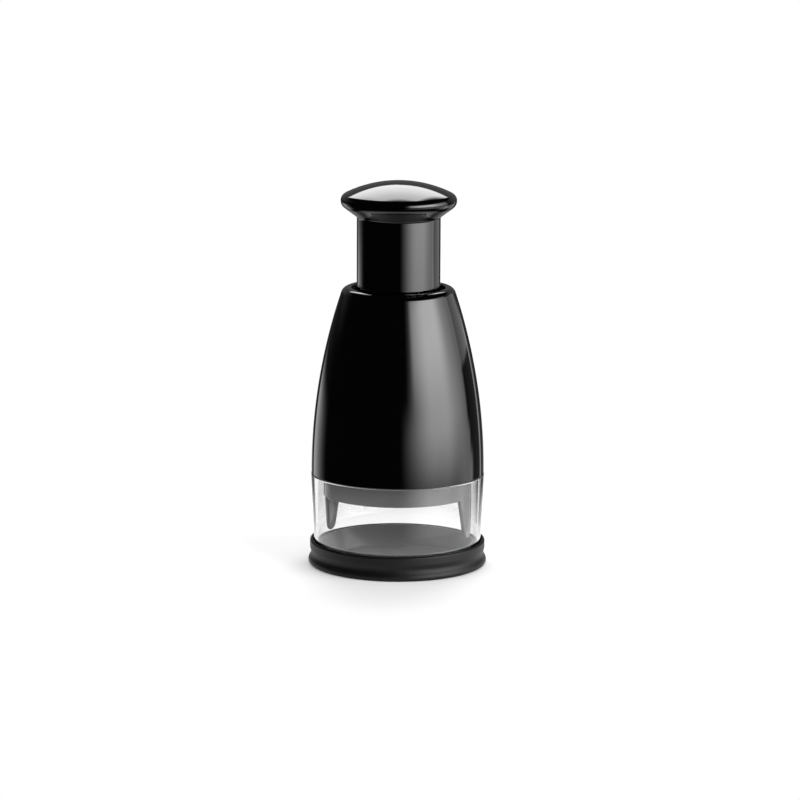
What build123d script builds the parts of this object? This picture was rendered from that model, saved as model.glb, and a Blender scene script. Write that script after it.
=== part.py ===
from build123d import *
from math import atan, cos, degrees, pi, sin, sqrt, tan, radians
import os

# Push-down food chopper: a domed knob is struck, a folded blade drops through a
# clear cup, and a fluted spindle turns the blade a little on every stroke.
# Millimetres, +Z up, axis on Z, standing on z = 0, front towards -Y.

# Fits between pieces
press_gap = 0.05
slide_gap = 0.3
loose_gap = 0.5
running_gap = 0.1
cut_overrun = 1.0

# Rubber base grip
grip_wall = 2.3
grip_waist_depth = 1.0
grip_foot_flare = 1.3
grip_height = 14.2
grip_foot_height = 2.4
grip_waist_height = 5.0
grip_bead_height = 8.6
grip_bead_slope = 1.2
grip_ledge = 5.0
grip_foot_round = 1.0
grip_flare_round = 3.0
grip_waist_round = 4.0
grip_bead_foot_round = 1.5
grip_bead_round = 1.0
cup_socket_gap = 0.7

# Chopping tray pressed into the grip
tray_lift = 0.8
tray_floor = 2.0
tray_flange = 1.6
tray_rim_height = 14.0
tray_rim_inset = 5.4
tray_wall = 1.8
tray_draft = 0.9
tray_corner_round = 1.5
tray_rim_round = 0.85

# Clear cup
cup_top_radius = 46.3
cup_taper = 1.8
cup_wall = 1.8
cup_edge_round = 0.7
cup_neck_height = 5.0
cup_neck_wall = 1.2
cup_neck_gap = 0.35

# Bell housing
mouth_inset = 0.15
bell_height = 100.3
housing_wall = 2.4
crown_thickness = 5.4
lip_bush_wall = 2.4
lip_round = 4.2
lip_shoulder_share = 0.92
lip_inner_round = 0.7
mouth_round = 0.5
sleeve_length = 17.6
sleeve_wall = 2.5
post_count = 3
post_radius = 3.4
post_inset = 12.2
post_rib = 1.8
post_height = 46.0
post_start_angle = 90.0

# Guide bush in the neck
bush_recess = 3.6
bush_flange = 2.0
bush_flange_width = 2.2
bush_edge_round = 0.6

# Plunger stem and its mushroom head
stem_radius = 22.2
stem_wall = 2.3
stem_reserve = 2.2
stem_flange = 3.0
stem_flange_width = 3.2
head_overhang = 8.6
head_upper_round = 3.95
head_lower_round = 4.5
head_cone_angle = 36.8
head_wall = 2.2
head_joint_round = 1.5

# Dome cap of the knob
dome_radius = 64.3
dome_wall = 2.2
dome_spigot_wall = 1.8

# Stem foot, which stops the upstroke and carries the spindle
foot_thickness = 4.5
foot_rim_width = 3.2
foot_spigot_height = 2.6
foot_spigot_wall = 2.0
foot_boss_radius = 9.0
foot_boss_drop = 7.5
foot_boss_rise = 4.0
foot_screw_count = 3
foot_screw_inset = 4.7
foot_screw_start_angle = 30.0

# Small screws that hold the stem foot
small_head_radius = 2.3
small_head_height = 1.8
small_shank_radius = 1.25
small_head_round = 0.7
small_screw_grip = 3.4

# Screws that hold the guard and plate to the housing posts
plate_head_radius = 2.8
plate_head_height = 1.9
plate_shank_radius = 1.5
plate_head_round = 0.6
plate_screw_grip = 9.0

# Blade guard with its two tongues
guard_cup_gap = 2.9
guard_wall = 2.2
guard_drop = 10.8
guard_flange = 3.0
guard_flange_width = 9.1
tongue_tip_share = 0.09
tongue_root_width = 21.6
tongue_tip_width = 10.4
tongue_tip_round = 5.0
tongue_count = 2
tongue_azimuth = -18.5

# Mechanism plate
plate_rise = 16.7
plate_thickness = 3.0
plate_rib_height = 3.0
plate_rib_width = 2.0
plate_rib_inset = 6.0

# Indexing nut
nut_radius = 10.0
nut_flat_depth = 1.5
nut_flange = 2.0
nut_tail = 2.2
nut_lip_height = 2.0
nut_lip_wall = 1.6
retainer_width = 3.0
retainer_thickness = 1.0
retainer_slot_width = 2.4

# Return spring
spring_radius = 13.4
spring_wire = 1.6
spring_turns = 8
spring_end_turns = 1
spring_end_space = 0.7

# Rubber bumper at the end of the stroke
bumper_height = 10.9
bumper_spring_gap = 1.2
bumper_spindle_gap = 1.2
bumper_space = 0.4
bumper_round = 1.0

# Blade spindle
spindle_radius = 6.0
flute_count = 3
flute_radius = 2.2
flute_outset = 0.4
index_angle = 45.0
flute_gap = 0.2
journal_radius = 4.0
bush_wall = 1.8
thrust_washer_rim = 1.0
thrust_washer_thickness = 0.8
tang_flats = 7.0
end_washer_radius = 7.4
end_washer_thickness = 1.0
end_head_radius = 3.8
end_head_height = 2.5
end_head_round = 1.0
end_shank_radius = 2.0
end_screw_grip = 11.0

# Blade hub and folded blades
hub_guard_space = 4.1
hub_thickness = 4.0
hub_edge_round = 1.0
hub_boss_radius = 9.0
hub_boss_height = 2.4
hub_space = 3.0
hub_screw_head_radius = 3.7
hub_screw_head_height = 2.2
hub_screw_head_round = 0.8
hub_shank_radius = 1.5
hub_screw_grip = 12.0
blade_inset = 2.0
blade_thickness = 0.8
blade_seat = 2.4
blade_bend_radius = 2.0
blade_bevel_height = 3.0
blade_edge_thickness = 0.2
blade_recess = 0.3
blade_floor_space = 0.6
blade_count = 2
zigzag_shares = ((-0.90, 0.20), (-0.45, 0.80), (0.0, 0.17), (0.45, 0.80), (0.90, 0.20))

# The stroke is what the bell leaves between the stem foot's boss and the bumper
sleeve_rise = bell_height - sleeve_length
foot_rise = sleeve_rise - bush_flange - slide_gap
boss_rise = foot_rise - foot_thickness - foot_boss_drop
nut_rise = plate_rise + plate_thickness + nut_flange
stroke = boss_rise - nut_rise - bumper_height - bumper_space

# Heights, with a cup just tall enough for the blades to reach the tray
tray_top = tray_lift + tray_floor
cup_seat = tray_top + tray_flange
blade_edge = tray_top + blade_floor_space + stroke
guard_bottom = blade_edge - blade_recess
mouth_z = guard_bottom + guard_drop
lip_z = mouth_z + bell_height
tongue_tip_z = tray_rim_height + tongue_tip_share * (guard_bottom - tray_rim_height)
plate_bottom = mouth_z + plate_rise
plate_top = plate_bottom + plate_thickness
guard_flange_bottom = plate_bottom - guard_flange
nut_bottom = plate_bottom - nut_tail
nut_top = plate_top + nut_flange
hub_top = guard_flange_bottom - hub_space
hub_bottom = hub_top - hub_thickness
blade_top = hub_bottom + blade_seat
sleeve_bottom = mouth_z + sleeve_rise
bush_bottom = sleeve_bottom - bush_flange
foot_top = mouth_z + foot_rise
foot_bottom = foot_top - foot_thickness
boss_bottom = mouth_z + boss_rise
boss_top = foot_top + foot_boss_rise
stem_joint_z = lip_z + stroke + stem_reserve
flute_top = boss_bottom - running_gap - thrust_washer_thickness
flute_bottom = hub_top + hub_boss_height
journal_top = boss_top + running_gap

# Radii of the base and the cup
cup_foot_radius = cup_top_radius - cup_taper
cup_bore_foot_radius = cup_foot_radius - cup_wall
socket_radius = cup_foot_radius + cup_socket_gap
grip_bead_radius = socket_radius + grip_wall
grip_waist_radius = grip_bead_radius - grip_waist_depth
grip_foot_radius = grip_waist_radius + grip_foot_flare
tray_rim_radius = cup_bore_foot_radius - tray_rim_inset

# Radii of the housing, and of the cup's neck, the guard and the blades in it
mouth_radius = cup_top_radius - mouth_inset
cup_neck_radius = mouth_radius - housing_wall - cup_neck_gap
cup_bore_top_radius = cup_neck_radius - cup_neck_wall
guard_radius = cup_bore_top_radius - guard_cup_gap
guard_bore_radius = guard_radius - guard_wall
guard_flange_bore_radius = guard_bore_radius - guard_flange_width
hub_radius = guard_bore_radius - hub_guard_space
blade_radius = hub_radius - blade_inset
post_circle_radius = mouth_radius - post_inset
plate_rib_radius = post_circle_radius - plate_rib_inset

# Radii of the stem, and of what it runs in and carries
bush_bore_radius = stem_radius + slide_gap
lip_bore_radius = bush_bore_radius + lip_bush_wall
bush_radius = lip_bore_radius - press_gap
head_radius = stem_radius + head_overhang
stem_bore_radius = stem_radius - stem_wall
foot_screw_circle_radius = stem_bore_radius - foot_screw_inset
stem_flange_bore_radius = foot_screw_circle_radius - stem_flange_width
foot_radius = stem_radius + foot_rim_width

# Radii of the spindle, and of what goes round it
spindle_bush_radius = journal_radius + running_gap + bush_wall
flute_circle_radius = spindle_radius + flute_outset
thrust_washer_radius = spindle_radius + thrust_washer_rim
bumper_bore_radius = spindle_radius + bumper_spindle_gap
bumper_radius = spring_radius - spring_wire / 2 - bumper_spring_gap
nut_flat_width = 2 * (nut_radius - nut_flat_depth)

# Curve of the bell, upright at the mouth and ending at the lip's shoulder
bell_drop = mouth_radius - lip_bore_radius - lip_inner_round - lip_shoulder_share * lip_round
bell_curve_radius = (bell_height**2 + bell_drop**2) / (2 * bell_drop)


def turned(*corners):
    """Solid turned about the axis from corners of (radius, height, corner round)."""
    points = [(radius, height) for radius, height, _ in corners]
    rounds = [corner_round for _, _, corner_round in corners]
    outline = FilletPolyline(*points, radius=rounds, close=True)
    return revolve(Plane.XZ * make_face(outline), Axis.Z)


def ring(outer, inner, bottom, top, edge_round=0):
    """Plain ring between two heights, with its two outer edges rounded."""
    return turned(
        (inner, bottom, 0),
        (outer, bottom, edge_round),
        (outer, top, edge_round),
        (inner, top, 0),
    )


def rod(radius, bottom, top):
    """Round bar on the axis between two heights."""
    return Pos(0, 0, bottom) * Cylinder(radius, top - bottom, align=(Align.CENTER, Align.CENTER, Align.MIN))


def screw(head_radius, head_height, head_round, shank_radius, grip):
    """Pan-head screw with its head resting on z = 0 and its shank pointing down."""
    head = turned(
        (0, 0, 0),
        (head_radius, 0, 0),
        (head_radius, head_height, head_round),
        (0, head_height, 0),
    )
    return head + rod(shank_radius, -grip, 0)


def around(count, radius, start_angle):
    """Places spread evenly on a circle about the axis."""
    return PolarLocations(radius, count, start_angle=start_angle, angular_range=360)


def bell_radius(height, inset=0):
    """Radius of the bell's curve at a height, moved in by a wall."""
    curve = bell_curve_radius - inset
    return mouth_radius - bell_curve_radius + sqrt(curve**2 - (height - mouth_z) ** 2)


def bell_arc(bottom, top, inset=0):
    """Stretch of the bell's curve between two heights, as (radius, height) points."""
    middle = (bottom + top) / 2
    return ThreePointArc(*((bell_radius(z, inset), z) for z in (bottom, middle, top)))


def base_grip():
    """Soft foot ring with a flared foot, a waist and a rounded bead at the top."""
    inner = socket_radius - grip_ledge
    return turned(
        (inner, 0, 0),
        (grip_foot_radius, 0, grip_foot_round),
        (grip_foot_radius, grip_foot_height, grip_flare_round),
        (grip_waist_radius, grip_waist_height, grip_waist_round),
        (grip_waist_radius, grip_bead_height - grip_bead_slope, grip_bead_foot_round),
        (grip_bead_radius, grip_bead_height, grip_bead_foot_round),
        (grip_bead_radius, grip_height, grip_bead_round),
        (socket_radius, grip_height, grip_bead_round),
        (socket_radius, tray_top, 0),
        (inner, tray_top, 0),
    )


def base_tray():
    """Dished chopping tray whose flange lies in the grip and carries the cup."""
    inner = tray_rim_radius - tray_wall / 2
    outer = tray_rim_radius + tray_wall / 2
    return turned(
        (0, tray_lift, 0),
        (socket_radius - grip_ledge - press_gap, tray_lift, 0),
        (socket_radius - grip_ledge - press_gap, tray_top, 0),
        (socket_radius - press_gap, tray_top, 0),
        (socket_radius - press_gap, cup_seat, 0),
        (cup_bore_foot_radius - loose_gap, cup_seat, 0),
        (outer, tray_rim_height, tray_rim_round),
        (inner, tray_rim_height, tray_rim_round),
        (inner - tray_draft, tray_top, tray_corner_round),
        (0, tray_top, 0),
    )


def clear_cup():
    """Clear cup, open at both ends, thicker towards the neck that enters the housing."""
    return turned(
        (cup_bore_foot_radius, cup_seat, cup_edge_round),
        (cup_foot_radius, cup_seat, cup_edge_round),
        (cup_top_radius, mouth_z, cup_edge_round),
        (cup_neck_radius, mouth_z, 0),
        (cup_neck_radius, mouth_z + cup_neck_height, cup_neck_wall / 3),
        (cup_bore_top_radius, mouth_z + cup_neck_height, cup_neck_wall / 3),
    )


def housing_shell():
    """Bell-shaped shell with a rounded lip, a neck sleeve and three screw posts."""
    crown_z = lip_z - crown_thickness
    sleeve_radius = lip_bore_radius + sleeve_wall
    outer = bell_arc(mouth_z, lip_z)
    inner = bell_arc(mouth_z, crown_z, housing_wall)
    edge = Polyline(
        outer @ 1,
        (lip_bore_radius, lip_z),
        (lip_bore_radius, sleeve_bottom),
        (sleeve_radius, sleeve_bottom),
        (sleeve_radius, crown_z),
        inner @ 1,
    )
    section = make_face(Curve() + [outer, edge, inner, Line(inner @ 0, outer @ 0)])
    for corner, corner_round in (
        (outer @ 1, lip_round),
        (Vector(lip_bore_radius, lip_z), lip_inner_round),
        (outer @ 0, mouth_round),
    ):
        section = fillet(section.vertices().sort_by_distance(corner)[0], corner_round)
    shell = revolve(Plane.XZ * section, Axis.Z)
    middle = bell_arc(mouth_z, crown_z, housing_wall / 2)
    solid_bell = revolve(
        Plane.XZ * make_face(Curve() + [middle, Polyline(middle @ 1, (0, crown_z), (0, mouth_z), middle @ 0)]),
        Axis.Z,
    )
    post = rod(post_radius, plate_top, plate_top + post_height)
    rib_length = mouth_radius - post_circle_radius
    rib = Pos(rib_length / 2, 0, plate_top) * Box(
        rib_length, post_rib, post_height, align=(Align.CENTER, Align.CENTER, Align.MIN)
    )
    hole = rod(plate_shank_radius, plate_top, plate_top + plate_screw_grip)
    for place in around(post_count, post_circle_radius, post_start_angle):
        shell += (place * (post + rib)) & solid_bell
        shell -= place * hole
    return shell


def neck_bush():
    """Guide bush that fills the neck below the lip, flanged under the sleeve."""
    return turned(
        (bush_bore_radius, bush_bottom, 0),
        (bush_radius + bush_flange_width, bush_bottom, 0),
        (bush_radius + bush_flange_width, sleeve_bottom, 0),
        (bush_radius, sleeve_bottom, 0),
        (bush_radius, lip_z - bush_recess, bush_edge_round),
        (bush_bore_radius, lip_z - bush_recess, bush_edge_round),
    )


def head_start():
    """Radius and height where the head's round leaves the cone below it."""
    slope = radians(head_cone_angle)
    radius = head_radius - head_lower_round * (1 - sin(slope))
    return radius, stem_joint_z + (radius - stem_radius) * tan(slope)


def seam_height():
    """Height of the knob's widest line, where the dome cap meets the stem's head."""
    return head_start()[1] + head_lower_round * cos(radians(head_cone_angle))


def head_inside(radius):
    """Height of the head's inner cone at a radius."""
    slope = radians(head_cone_angle)
    cone_radius, cone_z = head_start()
    return cone_z + head_wall / cos(slope) + (radius - cone_radius) * tan(slope)


def plunger_stem():
    """Hollow stem with a mushroom head above and a screwed flange near its foot."""
    slope = radians(head_cone_angle)
    cone_radius, cone_z = head_start()
    seam_z = seam_height()
    seat_radius = head_radius - dome_wall
    shoulder = TangentArc((cone_radius, cone_z), (head_radius, seam_z), tangent=(cos(slope), sin(slope)))
    inside = Polyline(
        (head_radius, seam_z),
        (seat_radius, seam_z),
        (seat_radius, head_inside(seat_radius)),
        (stem_bore_radius, head_inside(stem_bore_radius)),
        (stem_bore_radius, foot_top + stem_flange),
        (stem_flange_bore_radius, foot_top + stem_flange),
        (stem_flange_bore_radius, foot_top),
        (stem_radius, foot_top),
        (stem_radius, stem_joint_z),
        (cone_radius, cone_z),
    )
    section = make_face(Curve() + [shoulder, inside])
    joint = section.vertices().sort_by_distance(Vector(stem_radius, stem_joint_z))[0]
    stem = revolve(Plane.XZ * fillet(joint, head_joint_round), Axis.Z)
    hole = rod(small_shank_radius + press_gap, foot_top - cut_overrun, foot_top + stem_flange + cut_overrun)
    for place in around(foot_screw_count, foot_screw_circle_radius, foot_screw_start_angle):
        stem -= place * hole
    return stem


def knob_cap():
    """Domed cap with a rounded rim and a short spigot that snaps into the head."""
    seam_z = seam_height()
    rim_radius = head_radius - head_upper_round
    apart = dome_radius - head_upper_round
    dome_centre_z = seam_z - sqrt(apart**2 - rim_radius**2)
    lean = atan(rim_radius / (seam_z - dome_centre_z))
    tangent_point = (dome_radius * sin(lean), dome_centre_z + dome_radius * cos(lean))
    half_point = (dome_radius * sin(lean / 2), dome_centre_z + dome_radius * cos(lean / 2))
    inner_radius = dome_radius - dome_wall
    spigot_radius = head_radius - dome_wall - press_gap
    bore_radius = spigot_radius - dome_spigot_wall
    spigot_bottom = head_inside(head_radius - dome_wall) + press_gap
    roof_z = dome_centre_z + sqrt(inner_radius**2 - bore_radius**2)
    roof_top_z = dome_centre_z + inner_radius
    roof_half_radius = bore_radius / 2
    roof_half_z = dome_centre_z + sqrt(inner_radius**2 - roof_half_radius**2)
    dome = ThreePointArc((0, dome_centre_z + dome_radius), half_point, tangent_point)
    rim = TangentArc(tangent_point, (head_radius, seam_z), tangent=(cos(lean), -sin(lean)))
    edge = Polyline(
        (head_radius, seam_z),
        (spigot_radius, seam_z),
        (spigot_radius, spigot_bottom),
        (bore_radius, spigot_bottom),
        (bore_radius, roof_z),
    )
    roof = ThreePointArc((bore_radius, roof_z), (roof_half_radius, roof_half_z), (0, roof_top_z))
    axis_line = Line((0, roof_top_z), (0, dome_centre_z + dome_radius))
    return revolve(Plane.XZ * make_face(Curve() + [dome, rim, edge, roof, axis_line]), Axis.Z)


def stem_foot():
    """Disc under the stem: its rim stops the upstroke and its boss holds the spindle."""
    bore = spindle_bush_radius + press_gap
    spigot_radius = stem_flange_bore_radius - press_gap
    foot = turned(
        (bore, boss_bottom, 0),
        (foot_boss_radius, boss_bottom, 0),
        (foot_boss_radius, foot_bottom, 0),
        (foot_radius, foot_bottom, foot_thickness / 4),
        (foot_radius, foot_top, 0),
        (spigot_radius, foot_top, 0),
        (spigot_radius, foot_top + foot_spigot_height, 0),
        (spigot_radius - foot_spigot_wall, foot_top + foot_spigot_height, 0),
        (spigot_radius - foot_spigot_wall, boss_top, 0),
        (bore, boss_top, 0),
    )
    hole = rod(small_shank_radius + press_gap, foot_top - small_screw_grip, foot_top + cut_overrun)
    for place in around(foot_screw_count, foot_screw_circle_radius, foot_screw_start_angle):
        foot -= place * hole
    return foot


def stem_foot_screws():
    """Screws driven down through the stem's flange into the stem foot."""
    one = Pos(0, 0, foot_top + stem_flange) * screw(
        small_head_radius,
        small_head_height,
        small_head_round,
        small_shank_radius,
        stem_flange + small_screw_grip - running_gap,
    )
    places = around(foot_screw_count, foot_screw_circle_radius, foot_screw_start_angle)
    return Compound([place * one for place in places])


def spindle_bush():
    """Bearing sleeve pressed into the stem foot's boss."""
    return ring(spindle_bush_radius, journal_radius + running_gap, boss_bottom, boss_top)


def flute_section(gap=0):
    """Round section with flutes, grown by a gap for the nut that it slides in."""
    section = Circle(spindle_radius + gap)
    for place in around(flute_count, flute_circle_radius, 0):
        section -= place * Circle(flute_radius - gap)
    return section


def twisted(section, bottom, top):
    """Section drawn out between two heights with the spindle's steady twist."""
    turn_rate = index_angle / stroke
    start = Pos(0, 0, bottom) * Rot(0, 0, turn_rate * (bottom - flute_bottom)) * section
    rise = top - bottom
    return Solid.extrude_linear_with_rotation(start.face(), (0, 0, bottom), (0, 0, rise), turn_rate * rise)


def blade_spindle():
    """Fluted spindle with a bearing journal above and a hexagonal tang below."""
    flutes = twisted(flute_section(), flute_bottom, flute_top)
    journal = rod(journal_radius, flute_top, journal_top)
    tang = Pos(0, 0, hub_bottom + running_gap) * extrude(
        RegularPolygon(tang_flats / 2, 6, major_radius=False),
        amount=flute_bottom - hub_bottom - running_gap,
    )
    spindle = Part() + [flutes, journal, tang]
    spindle -= rod(end_shank_radius + press_gap, journal_top - end_screw_grip, journal_top + cut_overrun)
    spindle -= rod(hub_shank_radius + press_gap, hub_bottom - cut_overrun, hub_bottom + hub_screw_grip)
    return spindle


def thrust_washer():
    """Washer between the spindle's shoulder and the stem foot's boss."""
    return ring(
        thrust_washer_radius,
        journal_radius + press_gap,
        flute_top,
        flute_top + thrust_washer_thickness,
    )


def spindle_washer():
    """Washer that hangs the spindle on top of the stem foot's boss."""
    return ring(
        end_washer_radius,
        end_shank_radius + press_gap,
        journal_top,
        journal_top + end_washer_thickness,
    )


def spindle_screw():
    """Screw that clamps the washer to the spindle's upper end."""
    return Pos(0, 0, journal_top + end_washer_thickness) * screw(
        end_head_radius,
        end_head_height,
        end_head_round,
        end_shank_radius,
        end_washer_thickness + end_screw_grip - running_gap,
    )


def index_nut():
    """Flanged nut whose lugs ride in the flutes; flats keep it from turning."""
    spring_outer = spring_radius + spring_wire / 2
    lip_radius = spring_outer + loose_gap
    body = extrude(Circle(nut_radius) & Rectangle(2 * nut_radius, nut_flat_width), amount=nut_top - nut_bottom)
    flange = turned(
        (0, plate_top, 0),
        (lip_radius + nut_lip_wall, plate_top, 0),
        (lip_radius + nut_lip_wall, nut_top + nut_lip_height, 0),
        (lip_radius, nut_top + nut_lip_height, 0),
        (lip_radius, nut_top, 0),
        (0, nut_top, 0),
    )
    nut = Pos(0, 0, nut_bottom) * body + flange
    return nut - twisted(flute_section(flute_gap), nut_bottom - cut_overrun, nut_top + cut_overrun)


def nut_retainer():
    """Split push-on ring that keeps the nut in the plate."""
    top = plate_bottom - running_gap
    bottom = top - retainer_thickness
    outer = nut_radius + retainer_width
    flats = extrude(
        Circle(nut_radius + press_gap) & Rectangle(4 * nut_radius, nut_flat_width + 2 * press_gap),
        amount=retainer_thickness + 2 * cut_overrun,
    )
    slot = Pos(outer, 0, (bottom + top) / 2) * Box(outer, retainer_slot_width, retainer_thickness + cut_overrun)
    return rod(outer, bottom, top) - Pos(0, 0, bottom - cut_overrun) * flats - slot


def mechanism_plate():
    """Bulkhead that carries the nut, screwed up against the housing's posts."""
    radius = bell_radius(plate_top, housing_wall) - loose_gap
    plate = rod(radius, plate_bottom, plate_top)
    plate += ring(plate_rib_radius, plate_rib_radius - plate_rib_width, plate_top, plate_top + plate_rib_height)
    flats = extrude(
        Circle(nut_radius + press_gap) & Rectangle(4 * nut_radius, nut_flat_width + 2 * press_gap),
        amount=plate_thickness + 2 * cut_overrun,
    )
    plate -= Pos(0, 0, plate_bottom - cut_overrun) * flats
    hole = rod(plate_shank_radius + press_gap, plate_bottom - cut_overrun, plate_top + cut_overrun)
    for place in around(post_count, post_circle_radius, post_start_angle):
        plate -= place * hole
    return plate


def plate_screws():
    """Screws driven up through the guard's flange and the plate into the posts."""
    one = Pos(0, 0, guard_flange_bottom + plate_head_height) * Rot(180, 0, 0) * screw(
        plate_head_radius,
        plate_head_height,
        plate_head_round,
        plate_shank_radius - press_gap,
        plate_top - guard_flange_bottom - plate_head_height + plate_screw_grip - running_gap,
    )
    return Compound([place * one for place in around(post_count, post_circle_radius, post_start_angle)])


def blade_guard():
    """Collar that hides the raised blades, with a flange above and two tongues below."""
    guard = ring(guard_radius, guard_bore_radius, guard_bottom, plate_bottom)
    flange_radius = bell_radius(plate_bottom, housing_wall) - loose_gap
    guard += ring(flange_radius, guard_flange_bore_radius, guard_flange_bottom, plate_bottom)
    half_root = tongue_root_width / 2
    half_tip = tongue_tip_width / 2
    outline = FilletPolyline(
        (-half_root, guard_bottom + guard_wall),
        (-half_root, guard_bottom),
        (-half_tip, tongue_tip_z),
        (half_tip, tongue_tip_z),
        (half_root, guard_bottom),
        (half_root, guard_bottom + guard_wall),
        radius=(0, 0, tongue_tip_round, tongue_tip_round, 0, 0),
        close=True,
    )
    blank = extrude(Plane.YZ * make_face(outline), amount=guard_radius + cut_overrun)
    band = ring(guard_radius, guard_bore_radius, tongue_tip_z - cut_overrun, guard_bottom)
    for place in around(tongue_count, 0, tongue_azimuth):
        guard += band & (place * blank)
    hole = rod(plate_shank_radius + press_gap, guard_flange_bottom - cut_overrun, plate_bottom + cut_overrun)
    hole += rod(
        plate_head_radius + running_gap,
        guard_flange_bottom - cut_overrun,
        guard_flange_bottom + plate_head_height,
    )
    for place in around(post_count, post_circle_radius, post_start_angle):
        guard -= place * hole
    return guard


def stroke_bumper():
    """Rubber sleeve on the nut that the stem foot's boss meets at full stroke."""
    return ring(bumper_radius, bumper_bore_radius, nut_top, nut_top + bumper_height, bumper_round)


def spring_nodes():
    """Points half a turn apart along the spring, with its tangent at each."""
    bottom = nut_top + spring_wire / 2 + running_gap
    top = foot_bottom - spring_wire / 2 - running_gap
    half_turns = 2 * spring_turns
    end_half_turns = 2 * spring_end_turns
    end_rise = (spring_wire + spring_end_space) / 2
    free_rise = (top - bottom - 2 * end_half_turns * end_rise) / (half_turns - 2 * end_half_turns)
    nodes = []
    height = bottom
    for step in range(half_turns + 1):
        rises = [
            end_rise if index < end_half_turns or index >= half_turns - end_half_turns else free_rise
            for index in (step - 1, step)
        ]
        slope = sum(rises) / 2 / (pi * spring_radius)
        side = cos(pi * step)
        nodes.append((Vector(side * spring_radius, 0, height), Vector(0, side, slope).normalized()))
        height += rises[1]
    return nodes


def biarc(start, start_direction, end, end_direction):
    """Two arcs that leave start and reach end along the given directions."""
    span = end - start
    both = start_direction + end_direction
    turn = 2 * (1 - start_direction.dot(end_direction))
    along = span.dot(both)
    reach = (sqrt(along**2 + turn * span.dot(span)) - along) / turn
    middle = (start + start_direction * reach + end - end_direction * reach) / 2
    first = TangentArc(start, middle, tangent=start_direction)
    return [first, TangentArc(middle, end, tangent=first % 1)]


def return_spring():
    """Compression spring of round wire, wound as one tube with closed-up ends."""
    nodes = spring_nodes()
    arcs = []
    for (start, start_direction), (end, end_direction) in zip(nodes, nodes[1:]):
        arcs += biarc(start, start_direction, end, end_direction)
    path = Wire(arcs)
    points = [arc @ share for arc in arcs for share in (0.0, 0.25, 0.5, 0.75)]
    next_turn = len(points) // spring_turns * 3 // 4
    gap = min(
        (points[later] - points[index]).length
        for index in range(len(points))
        for later in range(index + next_turn, len(points))
    )
    print("return_spring least gap", round(gap - spring_wire, 2), "mm")
    section = Plane(origin=path @ 0, z_dir=path % 0) * Circle(spring_wire / 2)
    return sweep(section, path=path)


def zigzag(thickness):
    """Face of one folded strip, seen along the axis."""
    points = [(x_share * blade_radius, y_share * blade_radius) for x_share, y_share in zigzag_shares]
    line = FilletPolyline(*points, radius=blade_bend_radius)
    return make_face(line.wire().offset_2d(thickness / 2, side=Side.BOTH))


def blade():
    """One folded blade with a ground edge along its bottom."""
    body_bottom = blade_edge + blade_bevel_height
    body = Pos(0, 0, body_bottom) * extrude(zigzag(blade_thickness), amount=blade_top - body_bottom)
    lean = degrees(atan((blade_thickness - blade_edge_thickness) / 2 / blade_bevel_height))
    bevel = Pos(0, 0, body_bottom) * extrude(
        zigzag(blade_thickness), amount=blade_bevel_height, dir=(0, 0, -1), taper=lean
    )
    return body + bevel


def blade_places():
    """Turns that spread the blades about the axis."""
    return around(blade_count, 0, 0)


def blade_hub():
    """Disc that carries the blades in folded slots, keyed to the spindle's tang."""
    hub = ring(hub_radius, 0, hub_bottom, hub_top, hub_edge_round)
    hub += rod(hub_boss_radius, hub_top, hub_top + hub_boss_height)
    key = RegularPolygon(tang_flats / 2 + press_gap, 6, major_radius=False)
    hub -= Pos(0, 0, hub_bottom - cut_overrun) * extrude(
        key, amount=hub_thickness + hub_boss_height + 2 * cut_overrun
    )
    slot = Pos(0, 0, hub_bottom - cut_overrun) * extrude(
        zigzag(blade_thickness + 2 * press_gap), amount=blade_seat + cut_overrun
    )
    for place in blade_places():
        hub -= place * slot
    return hub


def hub_screw():
    """Screw that draws the hub up onto the spindle."""
    return Pos(0, 0, hub_bottom) * Rot(180, 0, 0) * screw(
        hub_screw_head_radius,
        hub_screw_head_height,
        hub_screw_head_round,
        hub_shank_radius,
        hub_screw_grip - running_gap,
    )


pieces = {
    "base_grip": base_grip(),
    "base_tray": base_tray(),
    "clear_cup": clear_cup(),
    "housing_shell": housing_shell(),
    "neck_bush": neck_bush(),
    "mechanism_plate": mechanism_plate(),
    "plate_screws": plate_screws(),
    "blade_guard": blade_guard(),
    "index_nut": index_nut(),
    "nut_retainer": nut_retainer(),
    "return_spring": return_spring(),
    "stroke_bumper": stroke_bumper(),
    "plunger_stem": plunger_stem(),
    "knob_cap": knob_cap(),
    "stem_foot": stem_foot(),
    "stem_foot_screws": stem_foot_screws(),
    "spindle_bush": spindle_bush(),
    "thrust_washer": thrust_washer(),
    "blade_spindle": blade_spindle(),
    "spindle_washer": spindle_washer(),
    "spindle_screw": spindle_screw(),
    "blade_hub": blade_hub(),
    "hub_screw": hub_screw(),
}
for number, place in enumerate(blade_places(), start=1):
    pieces[f"blade_{number}"] = place * blade()

os.makedirs("parts", exist_ok=True)
for name, shape in pieces.items():
    export_step(shape, f"parts/{name}.step")
print("stroke", round(stroke, 2), "mm, turn rate", round(radians(index_angle) / stroke * 1000, 3), "rad per m")
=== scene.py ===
"""Looks of the push-down food chopper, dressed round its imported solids."""

import logging
from dataclasses import dataclass
from enum import Enum
from math import asin, atan2, cos, degrees, pi, radians, sin, sqrt, tan
from typing import Any

import bmesh
import bpy
from mathutils import Matrix, Vector


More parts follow.
